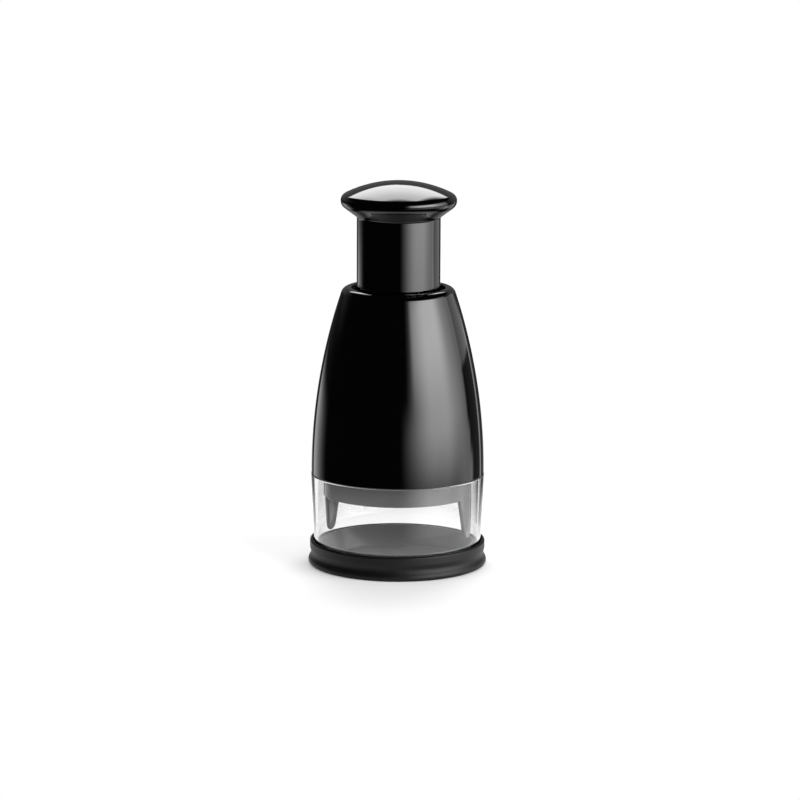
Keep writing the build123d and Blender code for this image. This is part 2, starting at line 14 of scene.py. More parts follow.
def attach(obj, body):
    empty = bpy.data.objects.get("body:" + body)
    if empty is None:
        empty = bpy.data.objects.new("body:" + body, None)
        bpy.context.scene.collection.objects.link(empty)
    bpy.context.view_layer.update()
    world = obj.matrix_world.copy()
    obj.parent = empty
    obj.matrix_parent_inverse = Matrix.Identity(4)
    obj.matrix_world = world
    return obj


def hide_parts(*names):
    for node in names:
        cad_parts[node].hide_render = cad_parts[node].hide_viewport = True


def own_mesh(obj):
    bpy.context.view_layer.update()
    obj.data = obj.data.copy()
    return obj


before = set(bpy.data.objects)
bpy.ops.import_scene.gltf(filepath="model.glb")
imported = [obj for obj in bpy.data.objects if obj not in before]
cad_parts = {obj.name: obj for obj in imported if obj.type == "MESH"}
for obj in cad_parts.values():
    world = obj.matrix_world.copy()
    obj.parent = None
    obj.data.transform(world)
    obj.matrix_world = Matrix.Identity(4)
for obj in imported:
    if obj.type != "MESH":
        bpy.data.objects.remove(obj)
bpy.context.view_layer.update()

MM = 0.001
SPIN_STEPS = 160
ARC_STEP_DEGREES = 9
FEWEST_ARC_STEPS = 2
CREASE_DEGREES = 32.0
SAME_POINT_MM = 0.0001
WELD_MM = 0.002
MATH = "ShaderNodeMath"
MAP_RANGE = "ShaderNodeMapRange"
NOISE_INPUTS = ("Vector", "Scale", "Detail", "Roughness")
log = logging.getLogger("chopper")

Corner = tuple[float, float, float]
Point = tuple[float, float]
Mesh = bmesh.types.BMesh
Material = bpy.types.Material
Tree = bpy.types.NodeTree
Node = bpy.types.Node
Socket = bpy.types.NodeSocket


class Body(Enum):
    """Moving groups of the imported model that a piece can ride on."""

    BASE = "base"
    CUP = "cup"
    HOUSING = "housing"
    PLUNGER = "plunger"
    BLADES = "blades"


def linear(colour: str) -> tuple[float, float, float, float]:
    """Turns an sRGB hex colour to linear light.

    Args:
        colour: six hex digits after a hash sign.

    Returns:
        Red, green, blue and a full alpha.
    """
    shares = [int(colour[place:place + 2], 16) / 255 for place in (1, 3, 5)]
    red, green, blue = (
        share / 12.92 if share <= 0.04045 else ((share + 0.055) / 1.055) ** 2.4
        for share in shares
    )
    return red, green, blue, 1.0


def per_metre(size_mm: float) -> float:
    """Scale of a texture whose features have the given size in millimetres."""
    return 1 / (size_mm * MM)


def add_node(
    tree: Tree,
    kind: str,
    inputs: dict[int | str, Any] | tuple[Any, ...] = (),
    **settings: Any,
) -> Node:
    """Adds one node and joins it up.

    Args:
        tree: node tree that gets the node.
        kind: the node's type name.
        inputs: a value or the output that feeds it for each socket, by name or number or in order.
        settings: properties of the node.

    Returns:
        The new node.
    """
    node = tree.nodes.new(kind)
    for name, value in settings.items():
        setattr(node, name, value)
    sockets = inputs if isinstance(inputs, dict) else dict(enumerate(inputs))
    for socket, value in sockets.items():
        if isinstance(value, Socket):
            tree.links.new(value, node.inputs[socket])
        else:
            node.inputs[socket].default_value = value
    return node


def shown(name: str, mesh: Mesh, material: Material) -> bpy.types.Object:
    """Puts a finished bmesh in the scene.

    Args:
        name: name of the object.
        mesh: its shape in metres, which is used up.
        material: what it is made of.

    Returns:
        The object, at the origin.
    """
    data = bpy.data.meshes.new(name)
    mesh.to_mesh(data)
    mesh.free()
    data.materials.append(material)
    made = bpy.data.objects.new(name, data)
    bpy.context.scene.collection.objects.link(made)
    return made


@dataclass
class Surface:
    """Surface of a material: its nodes, its shader and the place on the piece, in metres."""

    tree: Tree
    shader: Node
    place: Socket

    def feed(self, socket: str, value: Socket) -> None:
        """Joins an output to a socket of the shader."""
        self.tree.links.new(value, self.shader.inputs[socket])

    def relief(
        self,
        size_mm: float,
        depth_mm: float,
        detail: float,
        fineness: float = 0.5,
        stretch: Corner | None = None,
    ) -> None:
        """Raises an uneven relief.

        Args:
            size_mm: size of its features.
            depth_mm: height of its features.
            detail: number of finer layers in it.
            fineness: strength of each finer layer.
            stretch: scale along each axis, where a small one draws the relief out.
        """
        place = self.place
        if stretch:
            drawn = add_node(self.tree, "ShaderNodeMapping", {"Vector": place, "Scale": stretch})
            place = drawn.outputs["Vector"]
        pattern = (place, per_metre(size_mm), detail, fineness)
        noise = add_node(self.tree, "ShaderNodeTexNoise", dict(zip(NOISE_INPUTS, pattern)))
        bump = add_node(
            self.tree,
            "ShaderNodeBump",
            {"Strength": 1.0, "Distance": depth_mm * MM, "Height": noise.outputs["Fac"]},
        )
        self.feed("Normal", bump.outputs["Normal"])

    def patches(
        self, size_mm: float, detail: float, fineness: float, spread: Point, ends: Point
    ) -> Socket:
        """Spreads soft patches over the surface.

        Args:
            size_mm: size of a patch.
            detail: number of finer layers in it.
            fineness: strength of each finer layer.
            spread: part of the pattern over which the value goes from end to end.
            ends: value between the patches and in them.

        Returns:
            The value at each place.
        """
        pattern = (self.place, per_metre(size_mm), detail, fineness)
        noise = add_node(self.tree, "ShaderNodeTexNoise", dict(zip(NOISE_INPUTS, pattern)))
        patch = add_node(self.tree, MAP_RANGE, (noise.outputs["Fac"], *spread, *ends))
        return patch.outputs["Result"]


@dataclass(frozen=True)
class Finish:
    """A material as it comes from its process, named for both."""

    name: str
    slot: str
    colour: str
    roughness: float
    ior: float = 1.5
    metallic: float = 0.0
    transmission: float = 0.0
    specular: float = 0.5

    def material(self) -> Material:
        """Builds the material.

        Returns:
            A material whose even values stand on the shader itself.
        """
        material = bpy.data.materials.new(self.name)
        material.use_nodes = True
        tree = material.node_tree
        shader = tree.nodes["Principled BSDF"]
        for socket, value in (
            ("Base Color", linear(self.colour)),
            ("Roughness", self.roughness),
            ("Metallic", self.metallic),
            ("Transmission Weight", self.transmission),
            ("Specular IOR Level", self.specular),
        ):
            shader.inputs[socket].default_value = value
        if not self.metallic:
            shader.inputs["IOR"].default_value = self.ior
        place = add_node(tree, "ShaderNodeTexCoord").outputs["Object"]
        self.mark(Surface(tree, shader, place))
        return material

    def mark(self, surface: Surface) -> None:
        """Adds what the process leaves on the surface."""
        raise NotImplementedError


@dataclass(frozen=True)
class PolishedPlastic(Finish):
    """Plastic from a polished tool: a mirror with a faint orange peel and some handling."""

    peel_mm: float = 2.2
    peel_depth_mm: float = 0.0006
    smudge_mm: float = 14.0
    smudge_spread: Point = (0.45, 0.75)
    smudge_roughness: float = 0.05

    def mark(self, surface: Surface) -> None:
        """Adds the peel of the tool and the dull haze that hands leave.

        Args:
            surface: surface that gets the marks.
        """
        surface.relief(self.peel_mm, self.peel_depth_mm, detail=2.0, fineness=0.4)
        haze = surface.patches(
            self.smudge_mm,
            detail=5.0,
            fineness=0.6,
            spread=self.smudge_spread,
            ends=(self.roughness, self.roughness + self.smudge_roughness),
        )
        surface.feed("Roughness", haze)


@dataclass(frozen=True, kw_only=True)
class GrainedPlastic(Finish):
    """Plastic or rubber from an etched tool: a fine grain that breaks up the light."""

    grain_mm: float
    grain_depth_mm: float
    cloud_colour: str
    cloud_share: float = 0.5
    cloud_mm: float = 18.0
    cloud_spread: Point = (0.3, 0.8)

    def mark(self, surface: Surface) -> None:
        """Adds the etched grain and a slight clouding of the colour.

        Args:
            surface: surface that gets the marks.
        """
        surface.relief(self.grain_mm, self.grain_depth_mm, detail=3.0, fineness=0.6)
        cloud = surface.patches(
            self.cloud_mm,
            detail=4.0,
            fineness=0.65,
            spread=self.cloud_spread,
            ends=(0.0, self.cloud_share),
        )
        colour = add_node(
            surface.tree,
            "ShaderNodeMix",
            {0: cloud, 6: linear(self.colour), 7: linear(self.cloud_colour)},
            data_type="RGBA",
        )
        surface.feed("Base Color", colour.outputs[2])


@dataclass(frozen=True)
class ClearPlastic(Finish):
    """Clear plastic from a polished tool: see-through, with faint flow lines up its wall."""

    flow_mm: float = 7.0
    flow_depth_mm: float = 0.0003
    flow_stretch: float = 0.25

    def mark(self, surface: Surface) -> None:
        """Adds the flow lines, drawn out along the height."""
        stretch = (1.0, 1.0, self.flow_stretch)
        surface.relief(self.flow_mm, self.flow_depth_mm, detail=1.0, stretch=stretch)


@dataclass(frozen=True)
class BrushedSteel(Finish):
    """Rolled and brushed stainless steel: long level scratches and a ground lower edge."""

    scratch_mm: float = 0.25
    scratch_length_mm: float = 9.0
    scratch_depth_mm: float = 0.004
    edge_height_mm: float = 41.8
    edge_blend_mm: float = 0.1
    edge_roughness: float = 0.16

    def mark(self, surface: Surface) -> None:
        """Adds the level scratches and the smoother ground edge.

        Args:
            surface: surface that gets the marks.
        """
        along = self.scratch_mm / self.scratch_length_mm
        surface.relief(
            self.scratch_mm, self.scratch_depth_mm, detail=3.0, stretch=(along, along, 1.0)
        )
        height = add_node(surface.tree, "ShaderNodeSeparateXYZ", (surface.place,))
        blend = [(self.edge_height_mm + side * self.edge_blend_mm) * MM for side in (-1, 1)]
        values = (height.outputs["Z"], *blend, self.edge_roughness, self.roughness)
        roughness = add_node(surface.tree, MAP_RANGE, values)
        surface.feed("Roughness", roughness.outputs["Result"])


@dataclass(frozen=True)
class SmallMetal(Finish):
    """Metal of small fittings, such as plated screws and drawn wire: an uneven sheen."""

    sheen_mm: float = 1.5
    sheen_spread: Point = (0.3, 0.7)
    sheen_roughness: float = 0.15

    def mark(self, surface: Surface) -> None:
        """Adds the uneven sheen.

        Args:
            surface: surface that gets the marks.
        """
        sheen = surface.patches(
            self.sheen_mm,
            detail=3.0,
            fineness=0.5,
            spread=self.sheen_spread,
            ends=(self.roughness, self.roughness + self.sheen_roughness),
        )
        surface.feed("Roughness", sheen)


# Polished ABS: deep black that shows the studio as a mirror does.
BLACK_ABS = PolishedPlastic(
    "polished_black_abs", "gloss_black_plastic", "#020202", roughness=0.04, ior=1.54
)
# Moulded thermoplastic rubber: matte black with a fine dry grain.
BLACK_RUBBER = GrainedPlastic(
    "moulded_black_rubber", "black_rubber", "#090909", roughness=0.46, specular=0.26,
    grain_mm=0.5, grain_depth_mm=0.012, cloud_colour="#101010",
)
# Satin polypropylene: an even mid grey with a soft sheen.
TRAY_GREY = GrainedPlastic(
    "moulded_grey_polypropylene", "tray_grey_plastic", "#888888", roughness=0.22, ior=1.49,
    grain_mm=0.8, grain_depth_mm=0.006, cloud_colour="#7e7e7e",
)
# Satin ABS of the collar: smoke grey, a little glossier than the tray.
SMOKE_ABS = GrainedPlastic(
    "moulded_smoke_grey_abs", "smoke_grey_plastic", "#7f7f7f", roughness=0.14, ior=1.53,
    grain_mm=0.7, grain_depth_mm=0.004, cloud_colour="#777777",
)
# Styrene acrylonitrile: clear, with a touch of grey where two walls lie behind each other.
CLEAR_SAN = ClearPlastic(
    "moulded_clear_san", "clear_plastic", "#f6f6f6", roughness=0.0, transmission=1.0
)
# Stainless strip: cool grey, brushed along its length.
BLADE_STEEL = BrushedSteel(
    "brushed_stainless_steel", "blade_steel", "#c4c6c9", roughness=0.3, metallic=1.0
)
# Zinc-plated screws, washers and clip: pale, with an uneven shine.
ZINC_STEEL = SmallMetal(
    "zinc_plated_steel", "fastener_steel", "#b9bcc0", roughness=0.28, metallic=1.0
)
# Drawn spring wire: darker, with a drawn sheen.
SPRING_WIRE = SmallMetal(
    "drawn_spring_steel", "spring_steel", "#9a9b9e", roughness=0.25, metallic=1.0, sheen_mm=0.8
)
# Sintered bronze: warm and dull, full of pores.
BRONZE = SmallMetal(
    "sintered_bronze", "bush_bronze", "#a97f4c", roughness=0.42, metallic=1.0, sheen_mm=0.6
)
# Acetal: milky white or black, waxy to the touch.
WHITE_ACETAL = GrainedPlastic(
    "moulded_white_acetal", "white_acetal", "#e4e3dc", roughness=0.35, ior=1.48,
    grain_mm=1.2, grain_depth_mm=0.003, cloud_colour="#d8d6cd", cloud_share=0.4,
)
SPINDLE_ACETAL = GrainedPlastic(
    "moulded_natural_acetal", "spindle_acetal", "#dddbd2", roughness=0.38, ior=1.48,
    grain_mm=1.2, grain_depth_mm=0.003, cloud_colour="#cfccc0", cloud_share=0.4,
)
BLACK_ACETAL = GrainedPlastic(
    "moulded_black_acetal", "black_acetal", "#161617", roughness=0.38, ior=1.48,
    grain_mm=0.8, grain_depth_mm=0.006, cloud_colour="#1f1f20",
)
# Soft rubber of the bumper: dull dark grey.
BUMPER_RUBBER = GrainedPlastic(
    "moulded_bumper_rubber", "bumper_rubber", "#1d1d1d", roughness=0.6,
    grain_mm=0.5, grain_depth_mm=0.02, cloud_colour="#282828",
)


class Workshop:
    """Keeps one material for each finish and hands out dressed pieces."""

    def __init__(self) -> None:
        """Starts with no materials made."""
        self.made: dict[str, Material] = {}

    def material(self, finish: Finish) -> Material:
        """Material of a finish, made once.

        Args:
            finish: what the piece is made of.

        Returns:
            The material.
        """
        if finish.name not in self.made:
            self.made[finish.name] = finish.material()
        return self.made[finish.name]

    def piece(
        self, name: str, mesh: Mesh, finish: Finish, body: Body, *nodes: str
    ) -> bpy.types.Object:
        """Makes a shown piece from a finished bmesh.

        Args:
            name: name of the piece.
            mesh: its shape in metres, which is used up.
            finish: what it is made of.
            body: group that it moves with.
            nodes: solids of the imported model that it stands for.

        Returns:
            The object, riding on its body.
        """
        bmesh.ops.remove_doubles(mesh, verts=mesh.verts, dist=WELD_MM * MM)
        bmesh.ops.recalc_face_normals(mesh, faces=mesh.faces)
        for face in mesh.faces:
            face.smooth = True
        for edge in mesh.edges:
            edge.smooth = edge.calc_face_angle(0.0) < radians(CREASE_DEGREES)
        made = shown(name, mesh, self.material(finish))
        weighted = made.modifiers.new("even_shading", "WEIGHTED_NORMAL")
        weighted.keep_sharp = True
        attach(made, body.value)
        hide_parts(*nodes)
        log.info("%s: %d faces, for %s", name, len(made.data.polygons), ", ".join(nodes))
        return made

    def dress(self, node: str, finish: Finish) -> None:
        """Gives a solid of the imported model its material.

        Args:
            node: name of the solid.
            finish: what it is made of.
        """
        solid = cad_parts[node]
        solid.data.materials.clear()
        solid.data.materials.append(self.material(finish))
        log.info("%s: kept, in %s", node, finish.name)


class Outline:
    """Half section of a turned piece, drawn by a point that moves in the X-Z plane."""

    def __init__(self, radius: float, height: float) -> None:
        """Starts the section.

        Args:
            radius: distance of the first point from the axis, in millimetres.
            height: height of the first point, in millimetres.
        """
        self.mesh = bmesh.new()
        self.tip = self.mesh.verts.new((radius * MM, 0.0, height * MM))
        self.first = self.tip

    @classmethod
    def ring(cls, *corners: Corner) -> "Outline":
        """Closed section that doesn't touch the axis.

        Args:
            corners: radius, height and round of each corner, in order.

        Returns:
            The closed section.
        """
        radius, height = ((corners[0][part] + corners[-1][part]) / 2 for part in (0, 1))
        return cls(radius, height).lines(*corners, (radius, height, 0.0)).close()

    def here(self) -> Vector:
        """Radius and height of the moving point, in millimetres."""
        return Vector((self.tip.co.x, self.tip.co.z)) / MM

    def to(self, radius: float, height: float) -> "Outline":
        """Draws a straight line.

        Args:
            radius: where the line ends.
            height: where the line ends.

        Returns:
            This section.
        """
        if (self.here() - Vector((radius, height))).length > SAME_POINT_MM:
            self.tip = bmesh.ops.extrude_vert_indiv(self.mesh, verts=[self.tip])["verts"][0]
            self.tip.co = (radius * MM, 0.0, height * MM)
        return self

    def arc(self, radius: float, height: float, turn: float, steps: int = 0) -> "Outline":
        """Draws an arc about a centre.

        Args:
            radius: the centre's distance from the axis.
            height: the centre's height.
            turn: degrees, with a positive turn going from outwards to up.
            steps: number of straight pieces, or zero for pieces of the usual angle.

        Returns:
            This section.
        """
        swept = bmesh.ops.spin(
            self.mesh,
            geom=[self.tip],
            cent=(radius * MM, 0.0, height * MM),
            axis=(0.0, -1.0, 0.0),
            angle=radians(turn),
            steps=steps or max(FEWEST_ARC_STEPS, round(abs(turn) / ARC_STEP_DEGREES)),
        )
        self.tip = next(item for item in swept["geom_last"] if isinstance(item, bmesh.types.BMVert))
        return self

    def lines(self, *corners: Corner) -> "Outline":
        """Draws straight lines with rounded corners; the last corner stays sharp.

        Args:
            corners: radius, height and round of each corner, in order.

        Returns:
            This section.
        """
        for corner, after in zip(corners, corners[1:]):
            point = Vector(corner[:2])
            before = (point - self.here()).normalized()
            onward = (Vector(after[:2]) - point).normalized()
            turn = atan2(before.cross(onward), before.dot(onward))
            start = point - before * (corner[2] * tan(abs(turn) / 2))
            self.to(*start)
            if corner[2]:
                side = Vector((-before.y, before.x)) * (corner[2] if turn > 0 else -corner[2])
                self.arc(*(start + side), degrees(turn))
        return self.to(*corners[-1][:2])

    def close(self) -> "Outline":
        """Joins the last point to the first."""
        bmesh.ops.pointmerge(self.mesh, verts=[self.first, self.tip], merge_co=self.first.co)
        return self

    def turned(self) -> Mesh:
        """Turns the section full circle about the axis.

        Returns:
            The turned shape.
        """
        bmesh.ops.spin(
            self.mesh,
            geom=self.mesh.verts[:] + self.mesh.edges[:],
            cent=(0.0, 0.0, 0.0),
            axis=(0.0, 0.0, 1.0),
            angle=2 * pi,
            steps=SPIN_STEPS,
            use_merge=True,
        )
        return self.mesh


@dataclass
class Knob:
    """Domed cap and the hollow stem with its mushroom head, in millimetres."""

    head_radius: float = 30.8
    dome_radius: float = 64.3
    upper_round: float = 3.95
    lower_round: float = 4.5
    cone_angle: float = 36.8
    stem_radius: float = 22.2
    stem_bore: float = 19.9
    stem_bottom: float = 129.7
    stem_joint: float = 187.2
    flange_top: float = 132.7
    flange_bore: float = 12.0
    joint_round: float = 1.5
    cap_wall: float = 2.2
    seam_round: float = 0.25
    dome_steps: int = 24
    rim_steps: int = 14
    inner_steps: int = 12

    def cone_start(self) -> Point:
        """Radius and height where the head's lower round leaves the cone."""
        radius = self.head_radius - self.lower_round * (1 - sin(radians(self.cone_angle)))
        return radius, self.stem_joint + (radius - self.stem_radius) * tan(radians(self.cone_angle))

    def seam(self) -> float:
        """Height of the widest line, where the cap meets the head."""
        return self.cone_start()[1] + self.lower_round * cos(radians(self.cone_angle))

    def cap(self) -> Mesh:
        """Models the domed cap.

        Returns:
            Dome, rounded rim and a plain inside.
        """
        seam = self.seam()
        rim_radius = self.head_radius - self.upper_round
        centre = seam - sqrt((self.dome_radius - self.upper_round) ** 2 - rim_radius**2)
        lean = degrees(atan2(rim_radius, seam - centre))
        eased = degrees(self.seam_round / self.upper_round)
        inner_radius = self.head_radius - self.cap_wall
        inner_dome = self.dome_radius - self.cap_wall
        section = Outline(0.0, centre + self.dome_radius)
        section.arc(0.0, centre, -lean, self.dome_steps)
        section.arc(rim_radius, seam, lean - 90 + eased, self.rim_steps)
        section.to(self.head_radius - self.seam_round, seam)
        section.to(inner_radius, seam)
        section.to(inner_radius, centre + sqrt(inner_dome**2 - inner_radius**2))
        section.arc(0.0, centre, degrees(asin(inner_radius / inner_dome)), self.inner_steps)
        return section.turned()

    def stem(self) -> Mesh:
        """Models the stem.

        Returns:
            Head, stem and the screwed flange inside it.
        """
        seam = self.seam()
        eased = degrees(self.seam_round / self.lower_round)
        inner_radius = self.head_radius - self.cap_wall
        rise = self.cap_wall / cos(radians(self.cone_angle))
        slope = tan(radians(self.cone_angle))
        inner_height = self.stem_joint + rise + (self.stem_bore - self.stem_radius) * slope
        outer_height = inner_height + (inner_radius - self.stem_bore) * slope
        section = Outline(inner_radius, seam)
        section.to(self.head_radius - self.seam_round, seam)
        section.to(
            self.head_radius - self.lower_round * (1 - cos(radians(eased))),
            seam - self.lower_round * sin(radians(eased)),
        )
        lower_turn = self.cone_angle - 90 + eased
        section.arc(self.head_radius - self.lower_round, seam, lower_turn, self.rim_steps)
        section.lines(
            (self.stem_radius, self.stem_joint, self.joint_round),
            (self.stem_radius, self.stem_bottom, 0.0),
            (self.flange_bore, self.stem_bottom, 0.0),
            (self.flange_bore, self.flange_top, 0.0),
            (self.stem_bore, self.flange_top, 0.0),
            (self.stem_bore, inner_height, 0.0),
            (inner_radius, outer_height, 0.0),
            (inner_radius, seam, 0.0),
        )
        return section.close().turned()

    def build(self, shop: Workshop) -> None:
        """Makes the cap and the stem."""
        shop.piece("knob_dome", self.cap(), BLACK_ABS, Body.PLUNGER, "knob_cap")
        shop.piece("knob_stem", self.stem(), BLACK_ABS, Body.PLUNGER, "plunger_stem")


@dataclass
class BellHousing:
    """Bell-shaped housing and the guide bush in its neck, in millimetres."""

    mouth_radius: float = 46.15
    mouth_height: float = 49.3
    bell_height: float = 100.3
    wall: float = 2.4
    shoulder_radius: float = 29.464
    lip_bore: float = 24.9
    lip_round: float = 4.2
    lip_inner_round: float = 0.7
    mouth_round: float = 0.5
    crown: float = 5.4
    sleeve_bottom: float = 132.0
    sleeve_radius: float = 27.4
    bush_bore: float = 22.5
    bush_radius: float = 24.85
    bush_flange_radius: float = 27.05
    bush_bottom: float = 130.0
    bush_top: float = 146.0
    bush_round: float = 0.6
    post_radius: float = 3.4
    post_circle: float = 33.95
    post_bottom: float = 69.0
    post_top: float = 113.0
    post_taper: float = 0.5
    post_sides: int = 24
    post_angles: tuple[float, ...] = (90.0, 210.0, 330.0)
    wall_steps: int = 44
    lip_steps: int = 16
    inner_steps: int = 30

    def shell(self) -> Mesh:
        """Models the bell.

        Returns:
            Shell with a rounded lip, a sleeve in the neck and three posts.
        """
        drop = self.mouth_radius - self.shoulder_radius
        curve = (self.bell_height**2 + drop**2) / (2 * drop)
        centre = self.mouth_radius - curve
        lip_height = self.mouth_height + self.bell_height
        round_rise = self.bell_height - self.lip_round
        lean = asin(round_rise / (curve - self.lip_round))
        round_radius = centre + (curve - self.lip_round) * cos(lean)
        crown_rise = self.bell_height - self.crown
        inner = curve - self.wall
        inner_lean = asin(crown_rise / inner)
        start = asin(self.mouth_round / curve)
        section = Outline(self.mouth_radius - self.wall, self.mouth_height)
        section.lines(
            (self.mouth_radius, self.mouth_height, self.mouth_round),
            (self.mouth_radius, self.mouth_height + self.mouth_round, 0.0),
        )
        section.arc(centre, self.mouth_height, degrees(lean - start), self.wall_steps)
        lip_centre = self.mouth_height + round_rise
        section.arc(round_radius, lip_centre, 90 - degrees(lean), self.lip_steps)
        section.lines(
            (self.lip_bore, lip_height, self.lip_inner_round),
            (self.lip_bore, self.sleeve_bottom, 0.0),
            (self.sleeve_radius, self.sleeve_bottom, 0.0),
            (self.sleeve_radius, self.mouth_height + crown_rise, 0.0),
            (centre + inner * cos(inner_lean), self.mouth_height + crown_rise, 0.0),
        )
        section.arc(centre, self.mouth_height, -degrees(inner_lean), self.inner_steps)
        mesh = section.close().turned()
        for angle in self.post_angles:
            place = Matrix.Rotation(radians(angle), 4, "Z") @ Matrix.Translation(
                Vector((self.post_circle, 0.0, (self.post_bottom + self.post_top) / 2)) * MM
            )
            bmesh.ops.create_cone(
                mesh,
                cap_ends=True,
                segments=self.post_sides,
                radius1=self.post_radius * MM,
                radius2=self.post_radius * self.post_taper * MM,
                depth=(self.post_top - self.post_bottom) * MM,
                matrix=place,
            )
        return mesh

    def bush(self) -> Mesh:
        """Models the guide bush.

        Returns:
            Flanged ring that stands a little below the lip.
        """
        return Outline.ring(
            (self.bush_bore, self.bush_bottom, 0.0),
            (self.bush_flange_radius, self.bush_bottom, 0.0),
            (self.bush_flange_radius, self.sleeve_bottom, 0.0),
            (self.bush_radius, self.sleeve_bottom, 0.0),
            (self.bush_radius, self.bush_top, self.bush_round),
            (self.bush_bore, self.bush_top, self.bush_round),
        ).turned()

    def build(self, shop: Workshop) -> None:
        """Makes the bell and its bush."""
        shop.piece("bell_shell", self.shell(), BLACK_ABS, Body.HOUSING, "housing_shell")
        shop.piece("neck_guide", self.bush(), BLACK_ACETAL, Body.HOUSING, "neck_bush")


@dataclass
class Guard:
    """Collar that hides the raised blades, with two tapered tongues, in millimetres."""

    radius: float = 39.3
    bore: float = 37.1
    bottom: float = 38.5
    flange_bottom: float = 63.0
    flange_top: float = 66.0
    flange_radius: float = 42.8
    flange_bore: float = 28.0
    edge_round: float = 0.35
    tongue_azimuths: tuple[float, ...] = (-18.5, 161.5)
    root_width: float = 21.6
    tip_width: float = 8.2
    tip_height: float = 16.205
    tip_round: float = 5.0
    tongue_edge_round: float = 0.85
    tongue_edge_steps: int = 4
    root_overlap: float = 1.0
    bend_step: float = 1.0

    def collar(self) -> Mesh:
        """Models the collar.

        Returns:
            Ring with a flange at its top.
        """
        return Outline.ring(
            (self.bore, self.bottom, self.edge_round),
            (self.radius, self.bottom, self.edge_round),
            (self.radius, self.flange_bottom, 0.0),
            (self.flange_radius, self.flange_bottom, 0.0),
            (self.flange_radius, self.flange_top, self.edge_round),
            (self.flange_bore, self.flange_top, self.edge_round),
            (self.flange_bore, self.flange_bottom, self.edge_round),
            (self.bore, self.flange_bottom, 0.0),
        ).turned()

    def tongue(self, azimuth: float) -> bpy.types.Mesh:
        """Models one tongue: a plate with rounded edges, cut into strips and bent to the collar.

        Args:
            azimuth: where it hangs, in degrees about the axis.

        Returns:
            The tongue's mesh.
        """
        half_root = self.root_width / 2
        half_tip = self.tip_width / 2
        top = self.bottom + self.root_overlap
        blank = Outline(0.0, top).lines(
            (-half_root, top, 0.0),
            (-half_root, self.bottom, 0.0),
            (-half_tip, self.tip_height, self.tip_round),
            (half_tip, self.tip_height, self.tip_round),
            (half_root, self.bottom, 0.0),
            (half_root, top, 0.0),
            (0.0, top, 0.0),
        ).close()
        mesh = blank.mesh
        bmesh.ops.contextual_create(mesh, geom=mesh.edges[:])
        rims = mesh.edges[:]
        grown = bmesh.ops.extrude_face_region(mesh, geom=mesh.faces[:])["geom"]
        bmesh.ops.translate(
            mesh,
            verts=[item for item in grown if isinstance(item, bmesh.types.BMVert)],
            vec=(0.0, (self.radius - self.bore) * MM, 0.0),
        )
        rims += [item for item in grown if isinstance(item, bmesh.types.BMEdge)]
        bmesh.ops.recalc_face_normals(mesh, faces=mesh.faces)
        bmesh.ops.bevel(
            mesh,
            geom=rims,
            offset=self.tongue_edge_round * MM,
            affect="EDGES",
            segments=self.tongue_edge_steps,
            profile=0.5,
        )
        cuts = int(half_root / self.bend_step)
        for cut in range(-cuts, cuts + 1):
            bmesh.ops.bisect_plane(
                mesh,
                geom=mesh.verts[:] + mesh.edges[:] + mesh.faces[:],
                plane_co=(cut * self.bend_step * MM, 0.0, 0.0),
                plane_no=(1.0, 0.0, 0.0),
            )
        for vert in mesh.verts:
            bend = asin(vert.co.x / (self.radius * MM))
            reach = self.radius * MM - vert.co.y
            vert.co = (reach * cos(bend), reach * sin(bend), vert.co.z)
        turn = Matrix.Rotation(radians(azimuth), 3, "Z")
        bmesh.ops.rotate(mesh, verts=mesh.verts, cent=(0.0, 0.0, 0.0), matrix=turn)
        data = bpy.data.meshes.new("tongue")
        mesh.to_mesh(data)
        mesh.free()
        return data

    def build(self, shop: Workshop) -> None:
        """Makes the guard.

        Args:
            shop: where pieces get their materials.
        """
        mesh = self.collar()
        for azimuth in self.tongue_azimuths:
            tongue = self.tongue(azimuth)
            mesh.from_mesh(tongue)
            bpy.data.meshes.remove(tongue)
        shop.piece("blade_collar", mesh, SMOKE_ABS, Body.HOUSING, "blade_guard")


@dataclass
class Cup:
    """Clear tapered cup, open at both ends, in millimetres."""

    foot_height: float = 4.4
    foot_radius: float = 44.5
    foot_bore: float = 42.7
    mouth_height: float = 49.3
    mouth_radius: float = 46.3
    neck_height: float = 54.3
    neck_radius: float = 43.4
    neck_bore: float = 42.2
    edge_round: float = 0.7
    neck_round: float = 0.4

    def wall(self) -> Mesh:
        """Models the cup's wall.

        Returns:
            Tapered wall with a thinner neck.
        """
        return Outline.ring(
            (self.foot_bore, self.foot_height, self.edge_round),
            (self.foot_radius, self.foot_height, self.edge_round),
            (self.mouth_radius, self.mouth_height, self.edge_round),
            (self.neck_radius, self.mouth_height, 0.0),
            (self.neck_radius, self.neck_height, self.neck_round),
            (self.neck_bore, self.neck_height, self.neck_round),
        ).turned()

    def build(self, shop: Workshop) -> None:
        """Makes the cup."""
        shop.piece("cup_wall", self.wall(), CLEAR_SAN, Body.CUP, "clear_cup")


